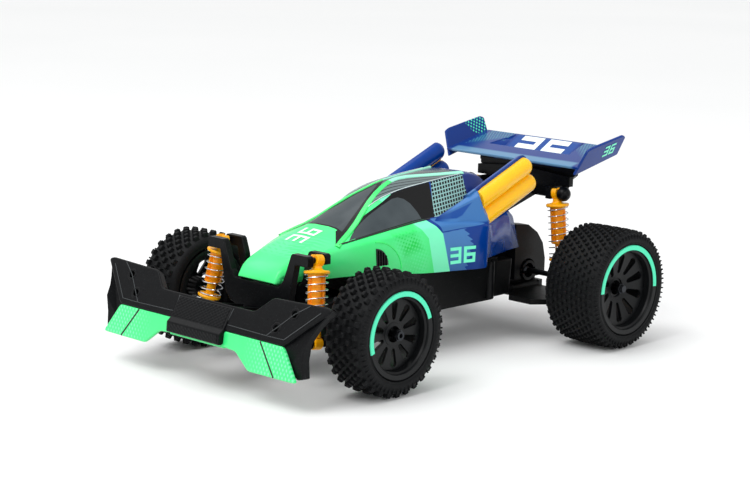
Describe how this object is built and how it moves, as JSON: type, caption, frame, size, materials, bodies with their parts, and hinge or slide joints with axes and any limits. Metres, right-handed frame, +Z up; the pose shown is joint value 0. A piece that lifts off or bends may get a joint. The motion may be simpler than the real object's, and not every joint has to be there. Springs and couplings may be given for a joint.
{
  "type": "remote control car",
  "caption": "Off-road toy racing buggy with raked bumper, sprung wheels, steering, geared rear drive, side exhausts and a rear wing.",
  "frame": {"origin": "on the ground, in the middle of the overall length and width", "axes": "+X forward, +Y to the car's left, +Z up; wheels turn about Y"},
  "size_m": [0.288, 0.1938, 0.1162],
  "materials": {
    "black_plastic": "moulded black plastic, satin sheen",
    "shell": "gloss shell, mint green front fading to royal blue rear, dark tinted panels",
    "pipe_yellow": "gloss yellow-orange plastic",
    "wing_blue": "gloss royal blue plastic",
    "skirt_green": "satin mint green plastic with a fine printed dot grid",
    "gearbox": "moulded dark plastic",
    "rim": "satin dark grey plastic with a mint arc on the flange",
    "tyre": "black rubber",
    "shock_orange": "orange plastic tube, yellow seat and hook",
    "steel": "bright steel",
    "spring_steel": "polished spring wire",
    "gear_plastic": "natural acetal",
    "brass": "turned brass",
    "battery_blue": "shrink sleeve",
    "board_green": "solder mask",
    "servo_grey": "moulded grey plastic"
  },
  "bodies": {
    "chassis": {"chassis_tub": "black_plastic", "chassis_cover": "black_plastic", "body_shell": "shell", "exhaust_pipes": "pipe_yellow", "rear_wing": "wing_blue", "wing_stay": "black_plastic", "front_bumper": "black_plastic", "bumper_skirt": "skirt_green", "front_shock_tower": "black_plastic", "rear_shock_tower": "black_plastic", "gearbox_casing_left": "gearbox", "gearbox_casing_right": "gearbox", "motor": "steel", "battery_pack": "battery_blue", "circuit_board": "board_green", "steering_servo": "servo_grey", "suspension_pins": "steel", "screws": "steel"},
    "battery_door": {"battery_door": "black_plastic"},
    "power_switch": {"power_switch": "black_plastic"},
    "steering_lever": {"steering_lever": "gear_plastic"},
    "steering_rack": {"steering_rack": "black_plastic"},
    "front_arm_left": {"front_arm_left": "black_plastic"},
    "knuckle_left": {"steering_knuckle_left": "black_plastic", "front_axle_left": "steel"},
    "front_wheel_left": {"front_rim_left": "rim", "front_tyre_left": "tyre"},
    "tie_rod_left": {"tie_rod_left": "black_plastic"},
    "rear_arm_left": {"rear_arm_left": "black_plastic"},
    "rear_wheel_left": {"rear_rim_left": "rim", "rear_tyre_left": "tyre", "rear_axle_left": "steel", "rear_nut_left": "steel"},
    "front_shock_left": {"front_shock_cylinder_left": "shock_orange", "front_shock_spring_left": "spring_steel"},
    "front_piston_left": {"front_shock_piston_left": "shock_orange"},
    "rear_shock_left": {"rear_shock_cylinder_left": "shock_orange", "rear_shock_spring_left": "spring_steel"},
    "rear_piston_left": {"rear_shock_piston_left": "shock_orange"},
    "front_arm_right": {"front_arm_right": "black_plastic"},
    "knuckle_right": {"steering_knuckle_right": "black_plastic", "front_axle_right": "steel"},
    "front_wheel_right": {"front_rim_right": "rim", "front_tyre_right": "tyre"},
    "tie_rod_right": {"tie_rod_right": "black_plastic"},
    "rear_arm_right": {"rear_arm_right": "black_plastic"},
    "rear_wheel_right": {"rear_rim_right": "rim", "rear_tyre_right": "tyre", "rear_axle_right": "steel", "rear_nut_right": "steel"},
    "front_shock_right": {"front_shock_cylinder_right": "shock_orange", "front_shock_spring_right": "spring_steel"},
    "front_piston_right": {"front_shock_piston_right": "shock_orange"},
    "rear_shock_right": {"rear_shock_cylinder_right": "shock_orange", "rear_shock_spring_right": "spring_steel"},
    "rear_piston_right": {"rear_shock_piston_right": "shock_orange"},
    "drive_gear": {"drive_gear": "gear_plastic"},
    "idler_gear": {"idler_gear": "gear_plastic"},
    "motor_pinion": {"motor_pinion": "brass"}
  },
  "joints": [
    {"name": "battery_door_hinge", "type": "hinge", "parent": "chassis", "child": "battery_door", "pos_m": [-0.054, 0, 0.0236], "axis": [0, 1, 0], "range_deg": [0, 75]},
    {"name": "power_switch_slide", "type": "slide", "parent": "chassis", "child": "power_switch", "axis": [1, 0, 0], "range_m": [0, 0.003]},
    {"name": "steering_lever_turn", "type": "hinge", "parent": "chassis", "child": "steering_lever", "pos_m": [0.055, 0, 0.0358], "axis": [0, 0, 1], "range_deg": [-20, 20]},
    {"name": "steering_rack_slide", "type": "slide", "parent": "chassis", "child": "steering_rack", "axis": [0, 1, 0], "range_m": [-0.0038, 0.0038]},
    {"name": "front_arm_left_hinge", "type": "hinge", "parent": "chassis", "child": "front_arm_left", "pos_m": [0.085, 0.017, 0.0275], "axis": [1, 0, 0], "range_deg": [-6, 8], "stiffness_Nm_per_rad": 0.6, "springref_deg": -5.73},
    {"name": "steer_left", "type": "hinge", "parent": "front_arm_left", "child": "knuckle_left", "pos_m": [0.077, 0.053, 0.033], "axis": [0, 0, 1], "range_deg": [-20, 20]},
    {"name": "front_wheel_left_spin", "type": "hinge", "parent": "knuckle_left", "child": "front_wheel_left", "pos_m": [0.077, 0.073, 0.033], "axis": [0, 1, 0], "continuous": true},
    {"name": "tie_rod_left_tilt", "type": "hinge", "parent": "steering_rack", "child": "tie_rod_left", "pos_m": [0.066, 0.017, 0.0275], "axis": [1, 0, 0], "range_deg": [-6, 8]},
    {"name": "rear_arm_left_hinge", "type": "hinge", "parent": "chassis", "child": "rear_arm_left", "pos_m": [-0.1005, 0.017, 0.024], "axis": [1, 0, 0], "range_deg": [-6, 8], "stiffness_Nm_per_rad": 0.8, "springref_deg": -5.73},
    {"name": "rear_wheel_left_spin", "type": "hinge", "parent": "rear_arm_left", "child": "rear_wheel_left", "pos_m": [-0.1005, 0.078, 0.03455], "axis": [0, 1, 0], "continuous": true},
    {"name": "front_shock_left_tilt", "type": "hinge", "parent": "chassis", "child": "front_shock_left", "pos_m": [0.0906, 0.037, 0.0665], "axis": [1, 0, 0], "range_deg": [-1.23, 1.54]},
    {"name": "front_shock_left_stroke", "type": "slide", "parent": "front_shock_left", "child": "front_piston_left", "axis": [0.1489, 0.1535, -0.9769], "range_m": [-0.00376, 0.00284], "deforming": ["front_shock_spring_left"]},
    {"name": "rear_shock_left_tilt", "type": "hinge", "parent": "chassis", "child": "rear_shock_left", "pos_m": [-0.112, 0.0318, 0.0811], "axis": [1, 0, 0], "range_deg": [-1, 0.83]},
    {"name": "rear_shock_left_stroke", "type": "slide", "parent": "rear_shock_left", "child": "rear_piston_left", "axis": [0, 0.1032, -0.9947], "range_m": [-0.00296, 0.00224], "deforming": ["rear_shock_spring_left"]},
    {"name": "front_arm_right_hinge", "type": "hinge", "parent": "chassis", "child": "front_arm_right", "pos_m": [0.085, -0.017, 0.0275], "axis": [-1, 0, 0], "range_deg": [-6, 8], "stiffness_Nm_per_rad": 0.6, "springref_deg": -5.73},
    {"name": "steer_right", "type": "hinge", "parent": "front_arm_right", "child": "knuckle_right", "pos_m": [0.077, -0.053, 0.033], "axis": [0, 0, 1], "range_deg": [-20, 20]},
    {"name": "front_wheel_right_spin", "type": "hinge", "parent": "knuckle_right", "child": "front_wheel_right", "pos_m": [0.077, -0.073, 0.033], "axis": [0, 1, 0], "continuous": true},
    {"name": "tie_rod_right_tilt", "type": "hinge", "parent": "steering_rack", "child": "tie_rod_right", "pos_m": [0.066, -0.017, 0.0275], "axis": [-1, 0, 0], "range_deg": [-6, 8]},
    {"name": "rear_arm_right_hinge", "type": "hinge", "parent": "chassis", "child": "rear_arm_right", "pos_m": [-0.1005, -0.017, 0.024], "axis": [-1, 0, 0], "range_deg": [-6, 8], "stiffness_Nm_per_rad": 0.8, "springref_deg": -5.73},
    {"name": "rear_wheel_right_spin", "type": "hinge", "parent": "rear_arm_right", "child": "rear_wheel_right", "pos_m": [-0.1005, -0.078, 0.03455], "axis": [0, 1, 0], "continuous": true},
    {"name": "front_shock_right_tilt", "type": "hinge", "parent": "chassis", "child": "front_shock_right", "pos_m": [0.0906, -0.037, 0.0665], "axis": [-1, 0, 0], "range_deg": [-1.23, 1.54]},
    {"name": "front_shock_right_stroke", "type": "slide", "parent": "front_shock_right", "child": "front_piston_right", "axis": [0.1489, -0.1535, -0.9769], "range_m": [-0.00376, 0.00284], "deforming": ["front_shock_spring_right"]},
    {"name": "rear_shock_right_tilt", "type": "hinge", "parent": "chassis", "child": "rear_shock_right", "pos_m": [-0.112, -0.0318, 0.0811], "axis": [-1, 0, 0], "range_deg": [-1, 0.83]},
    {"name": "rear_shock_right_stroke", "type": "slide", "parent": "rear_shock_right", "child": "rear_piston_right", "axis": [0, -0.1032, -0.9947], "range_m": [-0.00296, 0.00224], "deforming": ["rear_shock_spring_right"]},
    {"name": "drive_gear_spin", "type": "hinge", "parent": "chassis", "child": "drive_gear", "pos_m": [-0.1005, 0.0095, 0.03455], "axis": [0, 1, 0], "continuous": true},
    {"name": "idler_gear_spin", "type": "hinge", "parent": "chassis", "child": "idler_gear", "pos_m": [-0.09026, 0.008, 0.04172], "axis": [0, 1, 0], "continuous": true},
    {"name": "motor_pinion_spin", "type": "hinge", "parent": "chassis", "child": "motor_pinion", "pos_m": [-0.08084, 0.006, 0.04832], "axis": [0, 1, 0], "continuous": true}
  ],
  "couplings": [
    {"joint": "steer_right", "follows": "steer_left", "ratio": 1},
    {"joint": "steering_lever_turn", "follows": "steer_left", "ratio": -1},
    {"joint": "steering_rack_slide", "follows": "steer_left", "m_per_rad": -0.01085},
    {"joint": "tie_rod_left_tilt", "follows": "front_arm_left_hinge", "ratio": 1},
    {"joint": "front_shock_left_tilt", "follows": "front_arm_left_hinge", "ratio": 0.15539},
    {"joint": "front_shock_left_stroke", "follows": "front_arm_left_hinge", "m_per_rad": -0.026205},
    {"joint": "rear_shock_left_tilt", "follows": "rear_arm_left_hinge", "ratio": -0.08761},
    {"joint": "rear_shock_left_stroke", "follows": "rear_arm_left_hinge", "m_per_rad": -0.020453},
    {"joint": "tie_rod_right_tilt", "follows": "front_arm_right_hinge", "ratio": 1},
    {"joint": "front_shock_right_tilt", "follows": "front_arm_right_hinge", "ratio": 0.15539},
    {"joint": "front_shock_right_stroke", "follows": "front_arm_right_hinge", "m_per_rad": -0.026205},
    {"joint": "rear_shock_right_tilt", "follows": "rear_arm_right_hinge", "ratio": -0.08761},
    {"joint": "rear_shock_right_stroke", "follows": "rear_arm_right_hinge", "m_per_rad": -0.020453},
    {"joint": "rear_wheel_right_spin", "follows": "rear_wheel_left_spin", "ratio": 1},
    {"joint": "drive_gear_spin", "follows": "rear_wheel_left_spin", "ratio": 1},
    {"joint": "idler_gear_spin", "follows": "rear_wheel_left_spin", "ratio": -3.1667},
    {"joint": "motor_pinion_spin", "follows": "rear_wheel_left_spin", "ratio": 11.4}
  ]
}
